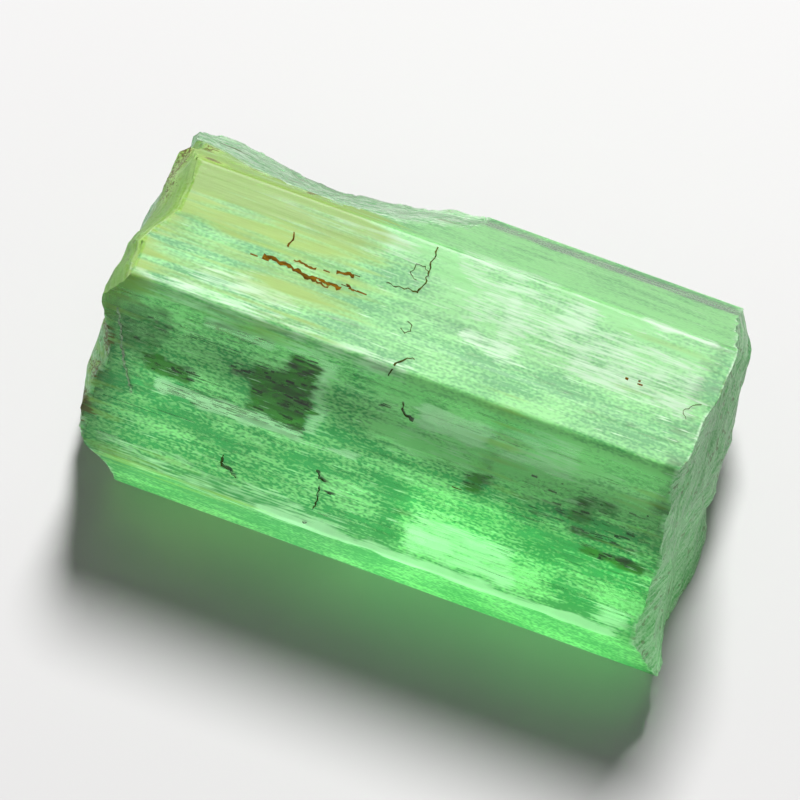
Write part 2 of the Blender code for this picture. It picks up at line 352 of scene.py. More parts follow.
def prism_outline(faces):
    """The corners where the prism faces meet, in order round the c axis."""
    planes = [(face.normal, face.normal.dot(face.edge)) for face in faces.values()]
    return [crossing(*plane, *following)
            for plane, following in zip(planes, planes[1:] + planes[:1])]


def resampled(loop, spacing):
    """Points along a closed loop at about the given spacing, its own corners among them."""
    points = []
    for a, b in zip(loop, loop[1:] + loop[:1]):
        steps = max(1, round((b - a).length / spacing))
        points += [a.lerp(b, step / steps) for step in range(steps)]
    return points


def worn_edges(points):
    """Rounds the sharp corners of a closed loop a little, inwards."""
    for _ in range(WEAR_ROUNDS):
        moved = []
        for i, here in enumerate(points):
            before, after = points[i - 1], points[(i + 1) % len(points)]
            turn = (here - before).angle(after - here, 0.0)
            middle = (before + after) / 2
            moved.append(here.lerp(middle, 0.5) if turn > WORN_TURN else here)
        points = moved
    return points


def striation_field(count, length, settings, rng):
    """Growth ledges, strips a little sunk, as (first, last, start x, end x, depth)."""
    ledges = []
    place = 0
    while place < count:
        width = rng.choice(LEDGE_WIDTHS)
        depth = settings.striation_depth * rng.random() ** 2
        start = -length / 2 + rng.uniform(-LEDGE_START, LEDGE_START) * length
        while start < length / 2:
            run = rng.uniform(*LEDGE_RUN) * length
            ledges.append((place, min(count, place + width), start, start + run, depth))
            start += run + rng.uniform(0.0, LEDGE_GAP) * length
        place += width
    return ledges


def sunk_in_solid(solid, point, outward, reach):
    """How deep the solid's surface lies under a point of the prism's outline, where it is near."""
    distance = solid.ray_cast(point + outward * PROBE, -outward, PROBE + reach)[3]
    return 0.0 if distance is None else max(0.0, distance - PROBE)


def softened(depths, reach):
    """The depths round a loop, evened out over reach to both sides."""
    around = range(-reach, reach + 1)
    count = len(depths)
    return [sum(depths[(i + k) % count] for k in around) / len(around) for i in range(count)]


def join_rings(shape, rings):
    """Joins rings of vertices into a tube that is closed at both ends."""
    count = len(rings[0])
    for ring, following in zip(rings, rings[1:]):
        for i in range(count):
            j = (i + 1) % count
            shape.faces.new((ring[i], ring[j], following[j], following[i]))
    shape.faces.new(rings[0])
    shape.faces.new(rings[-1])


def striated_tube(shape, faces, settings):
    """A closed tube just inside the solid's prism faces, with fine striations along it."""
    rng = random.Random(settings.seed)
    solid = BVHTree.FromBMesh(shape)
    points = worn_edges(resampled(prism_outline(faces), settings.striation_spacing))
    count = len(points)
    middle = Vector((0.0, 0.0, (CAD_BOX[0].z + CAD_BOX[1].z) / 2))
    outward = []
    for i, here in enumerate(points):
        along = points[(i + 1) % count] - points[i - 1]
        normal = Vector((0.0, along.z, -along.y)).normalized()
        outside = here - Vector((here.x, middle.y, middle.z))
        outward.append(normal if normal.dot(outside) > 0 else -normal)
    length = CAD_BOX[1].x - CAD_BOX[0].x + OVERHANG
    ledges = striation_field(count, length, settings, rng)
    stations = math.ceil(length / settings.station_spacing)
    rings = []
    tube = bmesh.new()
    for station in range(stations + 1):
        x = (station / stations - 0.5) * length
        sunk = [sunk_in_solid(solid, Vector((x, here.y, here.z)), outward[i], settings.ledge_limit)
                for i, here in enumerate(points)]
        sunk = [depth * settings.ledge_share for depth in softened(sunk, settings.ledge_softness)]
        for first, last, start, end, depth in ledges:
            if start <= x <= end:
                fade = min(1.0, (x - start) / settings.ledge_fade, (end - x) / settings.ledge_fade)
                for i in range(first, last):
                    sunk[i] += depth * fade
        ring = []
        for i, here in enumerate(points):
            place = Vector((x / SWELL_SIZE[0], here.y / SWELL_SIZE[1], here.z / SWELL_SIZE[1]))
            swell = noise.noise(place / MM)
            depth = settings.skin + sunk[i] + settings.swell * (0.5 + 0.5 * swell)
            ring.append(tube.verts.new(Vector((x, here.y, here.z)) - outward[i] * depth))
        rings.append(ring)
    join_rings(tube, rings)
    bmesh.ops.recalc_face_normals(tube, faces=tube.faces)
    if tube.calc_volume(signed=True) < 0:
        bmesh.ops.reverse_faces(tube, faces=tube.faces)
    return tube


def broken_solid(shape, faces, settings):
    """Leaves the breaks of the solid, cut finer and with hackle, and clears its prism faces away.

    Whatever belongs to a prism face moves outwards past it, because the striated tube takes over.
    """
    def is_broken(face):
        inset = inset_of(faces, face.calc_center_median())
        return abs(face.normal.x) > BREAK_SLANT or inset > settings.ledge_limit

    edges = {edge for face in shape.faces if is_broken(face) for edge in face.edges}
    bmesh.ops.subdivide_edges(shape, edges=list(edges), cuts=1, use_grid_fill=True)
    bmesh.ops.triangulate(shape, faces=shape.faces)
    shape.normal_update()
    whole = {vert for face in shape.faces if not is_broken(face) for vert in face.verts}
    for vert in shape.verts:
        if vert in whole:
            for face in faces.values():
                inset = face.normal.dot(face.edge - vert.co)
                if inset < settings.ledge_limit:
                    vert.co += face.normal * (inset + settings.clearance)
        else:
            place = Vector((vert.co.x * HACKLE_STRETCH, vert.co.y, vert.co.z))
            ridges = 1 - abs(noise.fractal(place / settings.hackle_size, *HACKLE_FRACTAL))
            vert.co -= vert.normal * (settings.hackle_depth * ridges)


def to_object(shape, name):
    """A new object in the scene with the bmesh shape as its mesh."""
    mesh = bpy.data.meshes.new(name)
    shape.to_mesh(mesh)
    shape.free()
    piece = bpy.data.objects.new(name, mesh)
    bpy.context.scene.collection.objects.link(piece)
    return piece


def evaluated_mesh(piece):
    """A plain mesh of the piece with its modifiers applied."""
    bpy.context.view_layer.update()
    evaluated = piece.evaluated_get(bpy.context.evaluated_depsgraph_get())
    return bpy.data.meshes.new_from_object(evaluated)


def common_to(piece, other):
    """Turns piece into what it and other share, and removes other."""
    modifier = piece.modifiers.new("common", "BOOLEAN")
    modifier.operation = "INTERSECT"
    modifier.solver = "MANIFOLD"
    modifier.object = other
    mesh = evaluated_mesh(piece)
    piece.modifiers.clear()
    piece.data = mesh
    bpy.data.objects.remove(other, do_unlink=True)


def keep_inside_box(mesh):
    """Brings each vertex inside the CAD model's box."""
    low, high = CAD_BOX
    for vert in mesh.vertices:
        vert.co = [min(max(vert.co[i], low[i]), high[i]) for i in range(3)]


def vectors_of(elements, name):
    """A foreach_get attribute of vectors, as a numpy array."""
    values = np.empty(len(elements) * 3, dtype=np.float32)
    elements.foreach_get(name, values)
    return values.reshape(-1, 3).astype(np.float64)


def smooth_step(values):
    """A smooth rise from 0 to 1 as values go from 0 to 1."""
    values = np.clip(values, 0.0, 1.0)
    return values * values * (3 - 2 * values)


def ragged_end(x, down):
    """How far a zone's end wanders along c at a place on a face, in mm: in narrow streaks.

    The cells of the noises have their sizes in mm, and the last numbers set the noises apart.
    """
    streak = noise.noise((0.0, down / 0.13, 7.0)) * noise.noise((x / 0.5, down / 0.3, 5.0))
    return ZONE_RAGS[0] * (streak + 0.3 * noise.noise((x / 0.4, down / 0.5, 9.0)))


def wavy_side(x, down):
    """How far a zone's side wanders across the face at a place on it, in mm."""
    return ZONE_RAGS[1] * noise.noise((x / 0.9, down / 0.3, 3.0))


def zone_strengths(points, faces):
    """The strength of each kind of zone at each point, as an array with a column for a kind."""
    strengths = np.zeros((len(points), len(ZONE_KINDS)))
    places = {}
    for name, face in faces.items():
        from_edge = (points - np.array(face.edge)) / MM
        x, down = from_edge[:, 0], from_edge @ np.array(face.down)
        wander = np.array([(ragged_end(*place), wavy_side(*place)) for place in zip(x, down)])
        depth = from_edge @ -np.array(face.normal)
        places[name] = (x + wander[:, 0], down + wander[:, 1], depth)
    for (face, kind), patches in ZONES.items():
        x, down, depth = places[face]
        ends, sides = WARM_SOFTNESS if kind == "warm" else ZONE_SOFTNESS
        start, last = STAIN_DEPTH if kind in STAINS else ZONE_DEPTH
        reach = smooth_step((last - depth) / (last - start))
        column = ZONE_KINDS.index(kind)
        for x_from, x_to, down_from, down_to, strength in patches:
            along = smooth_step(np.minimum(x - x_from, x_to - x) / ends + 0.5)
            across = smooth_step(np.minimum(down - down_from, down_to - down) / sides + 0.5)
            strengths[:, column] = 1 - (1 - strengths[:, column]) * (
                1 - reach * strength * along * across)
    return strengths


def mark_zones(mesh, faces, settings):
    """Stores the zones' strengths and how broken the surface is as attributes of the vertices."""
    points, normals = vectors_of(mesh.vertices, "co"), vectors_of(mesh.vertices, "normal")
    strengths = zone_strengths(points, faces)
    insets = [(np.array(face.edge) - points) @ np.array(face.normal) for face in faces.values()]
    deep = smooth_step((np.min(insets, axis=0) - settings.ledge_limit) / BREAK_FADE)
    slanted = smooth_step((np.abs(normals[:, 0]) - SLANT_FADE[0]) / SLANT_FADE[1])
    strengths[:, ZONE_KINDS.index("broken")] = np.maximum(deep, slanted)
    for name, values in (("zones", strengths[:, :4]), ("body", strengths[:, 4:])):
        attribute = mesh.attributes.new(name, "FLOAT_COLOR", "POINT")
        attribute.data.foreach_set("color", values.astype(np.float32).ravel())


def emerald(colours):
    """Emerald: green beryl, grown, unpolished and full of fine inclusions.

    It is clear enough to see into, with a cloudy green body in columns and feathers along c. Its
    prism faces have a hazy, glassy gloss from growth, duller where they are etched, and its
    breaks are paler and satin.
    """
    material, tree, shader = new_material("beryl_as_grown")
    zones = add_node(tree, "ShaderNodeAttribute", attribute_name="zones", out=None).outputs
    pale, deep, warm = add_node(
        tree, "ShaderNodeSeparateColor", {0: zones["Color"]}, out=None).outputs
    rust = zones["Alpha"]
    bodies = add_node(tree, "ShaderNodeAttribute", attribute_name="body", out=None).outputs
    clear, dense, broken = add_node(
        tree, "ShaderNodeSeparateColor", {0: bodies["Color"]}, out=None).outputs
    etched = bodies["Alpha"]

    # Sizes are in mm, along c and across it. Growth fibres are some hundredths of a mm wide. The
    # grit of tiny inclusions is finer still, and is drawn as coarse as it needs to show.
    fine = noise_field(tree, (0.7, 0.05, 0.05))
    grit = noise_field(tree, (0.1, 0.06, 0.06), 0.0)
    smoke = noise_field(tree, (0.5, 0.13, 0.13))
    streaks = noise_field(tree, (3.0, 0.2, 0.2))
    clouds = noise_field(tree, (1.6, 0.6, 0.6), 0.0)
    # Pale specks: tiny pale grains, which also stand in for glints, so they are partly painted
    # glints.
    specks_and_glints = add_node(tree, "ShaderNodeMapRange", {0: weighted_sum(
        tree, -0.35, ((fine, 0.9), (smoke, 0.45))), 1: 0.72, 2: 0.9})
    grains = column_field(tree, 0.09, 1.4)

    # Where the surface isn't etched, the fine streaks inside show more.
    sharpness = weighted_sum(tree, 1.15, ((etched, -0.35),))
    pattern = weighted_sum(
        tree, -0.45, ((grains, 0.3), (streaks, 0.4), (grit, 0.8), (fine, 0.5)), clamp=True)
    lightness = weighted_sum(
        tree, 0.0, ((clouds, 0.6), (clear, 0.6), (pattern, sharpness),
                    (sharpness, -0.35), (dense, -0.6)), clamp=True)
    feathers = weighted_sum(tree, 0.0, ((smoke, 0.4), (fine, 0.6)))
    wisps = weighted_sum(tree, 0.0, ((smoke, 0.6), (fine, 0.4)))
    body = layered(tree, colours["emerald"], (
        (etched, colours["jade"]),
        (lightness, colours["mint"]),
        # Pale zones are feathery crystal, and in narrow lines along edges painted highlights.
        (zone_mask(tree, pale, feathers, 0.6), colours["pale"]),
        (zone_mask(tree, deep, wisps, 1.0), colours["deep"]),
        # The specks: pale grains and painted glints.
        (weighted_sum(tree, 0.0, ((specks_and_glints, weighted_sum(tree, streaks, ((pale, 0.8),))),)),
         colours["pale"]),
    ))

    # A break has ribs that run across the prism, about a tenth of a mm apart, and rusty pits.
    ribs = noise_field(tree, (0.4, 1.4, 0.1), 2.0, 0.35, 0.62)
    pits = add_node(tree, "ShaderNodeMapRange", {0: streaks, 1: 0.16, 2: 0.0})
    fracture = layered(tree, colours["break_dark"], (
        (weighted_sum(tree, -0.2, ((ribs, 0.8), (grit, 0.5)), clamp=True), colours["break_light"]),
        (weighted_sum(tree, 0.0, ((pits, 0.7),)), colours["rust"]),
    ))
    whole = layered(tree, body, (
        (broken, fracture),
        (weighted_sum(tree, zone_mask(tree, warm, streaks, 0.8), ((broken, -0.2),)),
         colours["olive"]),
        (zone_mask(tree, rust, feathers, 0.3), colours["rust"]),
    ))

    # The bump is of the fine fibres on the prism faces and of the ribs on the breaks.
    height = weighted_sum(tree, fine, ((weighted_sum(tree, 0.0, ((ribs, 20.0),)), broken),))
    feed(shader, {
        "Base Color": whole,
        "Transmission Weight": weighted_sum(
            tree, 0.9, ((etched, -0.22), (dense, -0.2), (broken, -0.15), (rust, -0.5))),
        "Roughness": weighted_sum(tree, 0.24, ((streaks, 0.06), (etched, 0.25), (broken, 0.2))),
        "Normal": add_node(tree, "ShaderNodeBump", {
            "Height": height, "Strength": 1.0, "Distance": 0.0009 * MM}),
        "IOR": BERYL_INDEX,
        "Specular IOR Level": 0.3,      # etching takes the glare off the surface
    })
    feed(tree.nodes["Material Output"], {"Volume": add_node(
        tree, "ShaderNodeVolumeAbsorption", {"Color": linear("30f898"), "Density": 40.0})})
    return material


def colour_property(name, description, hex_colour):
    """A property that holds a colour."""
    return FloatVectorProperty(name=name, description=description, default=linear(hex_colour),
                               size=4, subtype="COLOR", min=0.0, max=1.0)


def length_property(name, description, millimetres):
    """A property that holds a length."""
    return FloatProperty(name=name, description=description, default=millimetres * MM,
                         subtype="DISTANCE", unit="LENGTH")


class CrystalSettings(PropertyGroup):
    seed: IntProperty(name="Seed", description="Seed of the striations", default=4)
    striation_spacing: length_property(
        "Striation spacing", "Spacing of the finest striations", 0.045)
    striation_depth: length_property(
        "Striation depth", "Depth of the deepest fine striation", 0.0035)
    station_spacing: length_property("Station spacing", "Spacing of cross-sections along X", 0.17)
    ledge_fade: length_property("Ledge fade", "Length over which a striation starts or ends", 0.4)
    ledge_softness: IntProperty(
        name="Ledge softness", description="Striations over which a ledge's side slopes",
        default=1)
    ledge_share: FloatProperty(
        name="Ledge share", description="Share of the solid's ledge depth that shows", default=0.1,
        subtype="FACTOR")
    clearance: length_property(
        "Clearance", "How far the solid's prism faces move out of the way", 0.05)
    skin: length_property("Skin", "How far the striated faces lie inside the CAD faces", 0.003)
    swell: length_property("Swell", "Depth of the slow waves on the prism faces", 0.006)
    ledge_limit: length_property("Ledge limit", "Deepest that a growth ledge lies", 0.075)
    hackle_size: length_property("Hackle size", "Size of the hackle on the breaks", 0.35)
    hackle_depth: length_property("Hackle depth", "Depth of the hackle on the breaks", 0.035)
    mint: colour_property("Mint", "Clear crystal", "a0f096")
    emerald: colour_property("Emerald", "Green crystal", "188638")
    jade: colour_property("Jade", "Green crystal under a dull face", "52ac60")
    # Pale also colours painted highlights: narrow lines along edges, and the specks that stand in
    # for glints.
    pale: colour_property("Pale", "Feathery crystal", "e0ffdc")
    deep: colour_property("Deep", "Dense green crystal", "0c5202")
    olive: colour_property("Olive", "Iron-tinted crystal", "a2c44c")
    rust: colour_property("Rust", "Iron on the surface", "5e5210")
    break_light: colour_property("Break, light", "Ridges of the breaks", "ecffe8")
    break_dark: colour_property("Break, dark", "Furrows of the breaks", "58b460")


CRYSTAL_COLOURS = (
    "mint", "emerald", "jade", "pale", "deep", "olive", "rust", "break_light", "break_dark")


class MINERAL_OT_crystal(Operator):
    """Grow the striated crystal in place of its CAD solid"""

    bl_idname = "mineral.crystal"
    bl_label = "Crystal"

    def execute(self, context):
        settings = context.scene.emerald_crystal
        shape = merged_copy(NODE)
        faces = prism_faces(shape)
        tube = to_object(striated_tube(shape, faces, settings), "striated_tube")
        broken_solid(shape, faces, settings)
        crystal = to_object(shape, "crystal")
        common_to(crystal, tube)
        keep_inside_box(crystal.data)
        crystal.data.shade_smooth()
        crystal.data.set_sharp_from_angle(angle=CREASE)
        mark_zones(crystal.data, faces, settings)
        colours = {name: tuple(getattr(settings, name)) for name in CRYSTAL_COLOURS}
        crystal.data.materials.clear()
        crystal.data.materials.append(emerald(colours))
        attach(crystal, BODY)
        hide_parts(NODE)
        return {"FINISHED"}


# ------------------ what lies inside

class Cluster(NamedTuple):
    """Grains under a prism face, in mm: where they lie, how many, and from what size to what."""

    face: str
    x: tuple
    down: tuple
    depth: tuple
    count: int
    smallest: tuple
    largest: tuple


# The smallest and the largest grain, in mm, along c and across it.
NEEDLE = ((0.2, 0.010, 0.010), (1.6, 0.026, 0.026))
SHORT_NEEDLE = ((0.08, 0.012, 0.012), (0.5, 0.035, 0.035))
GROWTH_TUBES = [Cluster(*row, *NEEDLE) for row in (
    ("top", (-6.9, 7.2), (0.1, 3.4), (0.03, 0.7), 260),
    ("front_upper", (-6.9, 7.2), (0.1, 6.3), (0.03, 1.4), 260),
    ("back_upper", (-6.9, 7.2), (-3.0, -0.1), (0.03, 1.0), 60),
    ("front_lower", (-6.6, 7.0), (0.3, 4.4), (0.05, 1.2), 60),
    ("bottom", (-6.6, 7.0), (-6.0, -0.3), (0.05, 1.2), 60),
    ("back_lower", (-6.6, 7.0), (0.3, 4.4), (0.05, 1.2), 60),
)] + [Cluster(*row, *SHORT_NEEDLE) for row in (
    ("front_upper", (-5.6, -2.0), (2.95, 3.4), (0.02, 0.3), 160),
    ("front_upper", (-4.9, -3.1), (0.45, 0.75), (0.02, 0.2), 40),
    ("front_upper", (-5.9, -1.95), (0.8, 1.4), (0.02, 0.2), 50),
    ("front_upper", (-0.8, -0.2), (0.05, 0.25), (0.02, 0.1), 16),
    ("front_upper", (3.0, 7.2), (1.8, 3.2), (0.02, 0.3), 60),
    ("top", (0.6, 7.2), (0.0, 0.2), (0.02, 0.1), 60),
    ("top", (1.0, 2.7), (1.85, 2.3), (0.02, 0.2), 40),
)]
FLAKE = ((0.03, 0.02, 0.006), (0.3, 0.07, 0.02))
DARK_FLAKES = [Cluster("front_upper", *row, *FLAKE) for row in (
    ((-2.6, -1.9), (0.7, 2.9), (0.03, 0.5), 117),
    ((-3.3, -2.5), (1.3, 2.9), (0.03, 0.6), 54),
    ((-4.0, -3.5), (1.6, 2.0), (0.03, 0.3), 13),
    ((-6.6, -5.8), (0.9, 2.3), (0.05, 0.6), 22),
    ((-6.3, -4.9), (2.35, 2.8), (0.05, 0.4), 31),
    ((-0.2, 0.1), (1.2, 1.45), (0.02, 0.1), 6),
    ((2.3, 2.95), (2.3, 3.0), (0.03, 0.4), 22),
    ((3.9, 7.1), (1.8, 3.1), (0.03, 0.5), 54),
    ((5.2, 6.8), (2.95, 3.1), (0.02, 0.3), 27),
    ((5.5, 7.1), (3.35, 3.65), (0.02, 0.3), 36),
    ((-1.0, -0.85), (4.58, 4.68), (0.01, 0.05), 6),
)]
FILM = ((0.05, 0.03, 0.003), (0.3, 0.08, 0.004))
SKIN_DEPTH = (0.0, 0.0015)
IRON_FILMS = [Cluster(face, x, down, SKIN_DEPTH, count, *FILM) for face, x, down, count in (
    ("top", (-4.3, -3.3), (1.84, 1.93), 68),
    ("top", (-3.4, -2.6), (1.92, 2.0), 76),
    ("top", (-2.8, -2.25), (2.0, 2.07), 27),
    ("top", (-2.05, -1.75), (1.5, 1.58), 23),
    ("top", (-1.97, -1.72), (1.84, 1.93), 23),
    ("top", (-1.6, -1.45), (1.88, 1.94), 10),
    ("top", (-4.42, -4.32), (1.86, 1.92), 8),
    ("top", (-3.7, -3.6), (1.0, 1.45), 13),
    ("top", (-2.6, -0.6), (1.45, 1.75), 23),
    ("top", (5.1, 5.9), (1.55, 1.7), 17),
    ("front_upper", (2.05, 2.3), (2.98, 3.08), 20),
)]
# Cracks, as (face, thickness in mm, (x, down) points in mm).
STAINED_CRACKS = (
    ("top", 0.038, ((-0.17, 0.1), (-0.2, 0.6), (-0.16, 1.1), (-0.22, 1.38))),
    ("top", 0.030, ((-0.22, 1.38), (-0.5, 1.40), (-0.8, 1.43), (-1.05, 1.42))),
    ("top", 0.021, ((-0.12, 0.9), (-0.3, 0.68), (-0.52, 0.72), (-0.58, 0.95), (-0.4, 1.12))),
    ("top", 0.021, ((-0.2, 2.2), (-0.05, 2.25), (-0.02, 2.42), (-0.15, 2.5), (-0.28, 2.4))),
    ("top", 0.042, ((0.32, 3.05), (0.15, 3.1), (0.05, 3.2), (-0.05, 3.3), (-0.1, 3.4))),
    ("top", 0.017, ((7.35, 1.65), (7.15, 1.75), (7.0, 1.95), (7.1, 2.15))),
    ("front_upper", 0.032, ((-0.1, 0.04), (-0.14, 0.3))),
    ("front_upper", 0.042, ((-3.75, 4.6), (-3.74, 5.0))),
    ("front_upper", 0.019, ((-3.74, 5.0), (-3.5, 5.03), (-3.3, 5.2))),
    ("front_upper", 0.027, ((-1.2, 4.55), (-1.17, 5.0), (-1.2, 5.3))),
    ("front_upper", 0.026, ((-1.35, 4.05), (-1.25, 4.25), (-1.05, 4.3))),
    ("front_upper", 0.030, ((0.35, 0.95), (0.4, 1.25), (0.7, 1.45))),
    ("front_upper", 0.032, ((-0.95, 4.6), (-0.85, 4.62))),
    ("front_upper", 0.032, ((-1.4, 5.8), (-1.3, 5.82))),
)
RUST_VEINS = (
    ("top", 0.10, ((-4.15, 1.82), (-3.85, 1.85), (-3.45, 1.9), (-3.1, 1.96), (-2.7, 2.0))),
    ("top", 0.05, ((-2.7, 2.0), (-2.5, 2.06), (-2.35, 2.08))),
    ("top", 0.11, ((-2.5, 1.98), (-2.25, 1.96), (-2.05, 2.0))),
    ("top", 0.08, ((-2.3, 1.62), (-2.1, 1.56), (-1.85, 1.55))),
    ("top", 0.05, ((-3.4, 1.68), (-3.2, 1.7), (-2.8, 1.72))),
    ("top", 0.05, ((-1.97, 1.84), (-1.72, 1.93))),
    ("top", 0.04, ((-3.66, 1.0), (-3.62, 1.2), (-3.68, 1.42))),
)
PALE_CRACKS = (
    ("front_upper", 0.05, ((-7.15, 1.2), (-6.95, 2.0), (-6.7, 2.9), (-6.35, 3.75))),
)
HEALED_CRACKS = (
    ("top", 0.16, ((-6.6, 1.75), (-6.2, 1.45), (-5.5, 1.3), (-4.7, 1.15), (-3.9, 1.2))),
    ("top", 0.12, ((-6.7, 2.0), (-6.1, 1.8), (-5.4, 1.6), (-4.6, 1.55))),
    ("top", 0.1, ((-6.5, 2.3), (-5.9, 2.2), (-5.2, 2.1), (-4.4, 2.15))),
)


def grain_tree():
    """Node tree that scatters small prisms, long along X, through a box."""
    tree = bpy.data.node_groups.new("grains_in_a_box", "GeometryNodeTree")
    sockets = (("Count", "Int"), ("Seed", "Int"), ("Low", "Vector"), ("High", "Vector"),
               ("Smallest", "Vector"), ("Largest", "Vector"), ("Sides", "Int"),
               ("Tilt", "Float"), ("Finish", "Material"))
    for name, kind in sockets:
        tree.interface.new_socket(name, in_out="INPUT", socket_type="NodeSocket" + kind)
    tree.interface.new_socket("Geometry", in_out="OUTPUT", socket_type="NodeSocketGeometry")
    given = add_node(tree, "NodeGroupInput", out=None).outputs

    def random_vector(low, high, offset):
        seed = add_node(tree, "ShaderNodeMath", {0: given["Seed"], 1: float(offset)})
        return add_node(tree, "FunctionNodeRandomValue", {0: low, 1: high, "Seed": seed},
                        data_type="FLOAT_VECTOR")

    place = random_vector(given["Low"], given["High"], 0)
    size = random_vector(given["Smallest"], given["Largest"], 2)
    half_turn = 3.14159
    tilt = add_node(tree, "ShaderNodeCombineXYZ",
                    {0: half_turn, 1: given["Tilt"], 2: given["Tilt"]})
    other_tilt = add_node(tree, "ShaderNodeVectorMath", {0: tilt, "Scale": -1.0},
                          operation="SCALE")
    points = add_node(tree, "GeometryNodePoints", {"Count": given["Count"], "Position": place})
    prism = add_node(tree, "GeometryNodeMeshCylinder", {
        "Vertices": given["Sides"], "Radius": 0.5, "Depth": 1.0})
    along = add_node(tree, "GeometryNodeTransform", {
        "Geometry": prism, "Rotation": (0.0, math.radians(90), 0.0)})
    grains = add_node(tree, "GeometryNodeInstanceOnPoints", {
        "Points": points, "Instance": along, "Scale": size,
        "Rotation": random_vector(other_tilt, tilt, 1)})
    solid = add_node(tree, "GeometryNodeRealizeInstances", {"Geometry": grains})
    finished = add_node(tree, "GeometryNodeSetMaterial", {
        "Geometry": solid, "Material": given["Finish"]})
    add_node(tree, "NodeGroupOutput", {"Geometry": finished}, out=None)
    return tree


def scatter(tree, cluster, faces, seed, sides, tilt, finish):
    """A mesh of the grains of one cluster, in the crystal's place."""
    holder = bpy.data.objects.new("grains", bpy.data.meshes.new("grains"))
    bpy.context.scene.collection.objects.link(holder)
    modifier = holder.modifiers.new("grains", "NODES")
    modifier.node_group = tree
    low, high = zip(cluster.x, cluster.down, cluster.depth)
    values = {"Count": cluster.count, "Seed": seed, "Low": low, "High": high,
              "Smallest": cluster.smallest, "Largest": cluster.largest, "Sides": sides,
              "Tilt": tilt, "Finish": finish}
    for socket in tree.interface.items_tree:
        if socket.in_out == "INPUT":
            modifier[socket.identifier] = values[socket.name]
    mesh = evaluated_mesh(holder)
    bpy.data.objects.remove(holder, do_unlink=True)
    mesh.transform(faces[cluster.face].place())
    return mesh


def crystal_faces():
    """The crystal's surface as a tree to search, and its prism faces."""
    surface = BVHTree.FromObject(
        bpy.data.objects["crystal"], bpy.context.evaluated_depsgraph_get())
    return surface, prism_faces(merged_copy(NODE))


def surface_drop(surface, face, point):
    """How far the crystal's surface lies under a prism face at a point, or None beside it."""
    above, reach = 0.5 * MM, 1.5 * MM
    start = point + face.normal * (face.normal.dot(face.edge - point) + above)
    distance = surface.ray_cast(start, -face.normal, reach)[3]
    return None if distance is None else distance - above


def settle(mesh, surface, face, corners, margin):
    """A bmesh of a mesh's grains, each sunk with the surface, without those above margin."""
    shape = bmesh.new()
    shape.from_mesh(mesh)
    shape.verts.ensure_lookup_table()
    outside = []
    for first in range(0, len(shape.verts), corners):
        grain = shape.verts[first:first + corners]
        middle = sum((vert.co for vert in grain), Vector()) / corners
        drop = surface_drop(surface, face, middle)
        if drop is None:
            outside += grain
            continue
        for vert in grain:
            vert.co -= face.normal * drop
        for vert in grain:
            near, normal, _, distance = surface.find_nearest(vert.co)
            if distance * (-1 if normal.dot(vert.co - near) > 0 else 1) < margin:
                outside += grain
                break
    bmesh.ops.delete(shape, geom=outside, context="VERTS")
    return shape


def scattered_piece(name, clusters, settings, sides, tilt, finish, margin):
    """One piece of all the grains of some clusters, each at least margin under the surface."""
    tree = grain_tree()
    surface, faces = crystal_faces()
    whole = bmesh.new()
    for number, cluster in enumerate(clusters):
        seed = settings.seed + 10 * number
        mesh = scatter(tree, cluster, faces, seed, sides, tilt, finish)
        shape = settle(mesh, surface, faces[cluster.face], 2 * sides, margin)
        shape.to_mesh(mesh)
        shape.free()
        whole.from_mesh(mesh)
        bpy.data.meshes.remove(mesh)
    bmesh.ops.recalc_face_normals(whole, faces=whole.faces)
    piece = to_object(whole, name)
    piece.data.materials.append(finish)
    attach(piece, BODY)


SPECKLE_SHADE = 0.3             # how bright the dark speckles are next to the rest


def plain_finish(name, colour, roughness, transmission=0.0, index=1.5, gleam=0.5):
    """A Principled material with a speckled colour."""
    material, tree, shader = new_material(name)
    speckle = noise_field(tree, (0.3, 0.08, 0.08))
    dark = tuple(SPECKLE_SHADE * value for value in colour[:3]) + (1.0,)
    feed(shader, {
        "Base Color": layered(tree, dark, ((speckle, colour),)), "Roughness": roughness,
        "Transmission Weight": transmission, "IOR": index, "Specular IOR Level": gleam})
    return material


class InclusionSettings(PropertyGroup):
    seed: IntProperty(name="Seed", description="Seed of the scattered grains", default=20)
    margin: length_property("Margin", "Least depth of a grain under the surface", 0.004)
    relief: length_property("Relief", "How far rust and cracks stand out of the surface", 0.003)
    tube: colour_property("Growth tube", "Liquid and gas in the growth tubes", "e8ffe6")
    flake: colour_property("Flake", "Dark mica flakes", "1a5208")
    film: colour_property("Film", "Iron rust", "704e04")
    crack: colour_property("Crack", "Stained cracks", "4a5418")
    pale_crack: colour_property("Pale crack", "Air in an open crack", "cfeec8")
    healed_depth: length_property("Healed depth", "How far under the surface cracks healed", 0.04)
    healed: colour_property("Healed crack", "Bubbles in healed cracks", "8cd88c")
    crack_depth: length_property("Crack depth", "How deep the cracks go", 0.25)


class MINERAL_OT_growth_tubes(Operator):
    """Fill the crystal with fine growth tubes along its c axis"""

    bl_idname = "mineral.growth_tubes"
    bl_label = "Growth tubes"

    def execute(self, context):
        settings = context.scene.emerald_inclusions
        # Liquid in the growth tubes: clear, with a lower index than the beryl round it, so that
        # they mirror light as fine bright threads. Its IOR is the one of the two over the other.
        finish = plain_finish("growth_tube_fill", tuple(settings.tube), 0.05, 1.0,
                              LIQUID_INDEX / BERYL_INDEX)
        scattered_piece("growth_tubes", GROWTH_TUBES, settings, 5, math.radians(0.6), finish,
                        settings.margin)
        return {"FINISHED"}


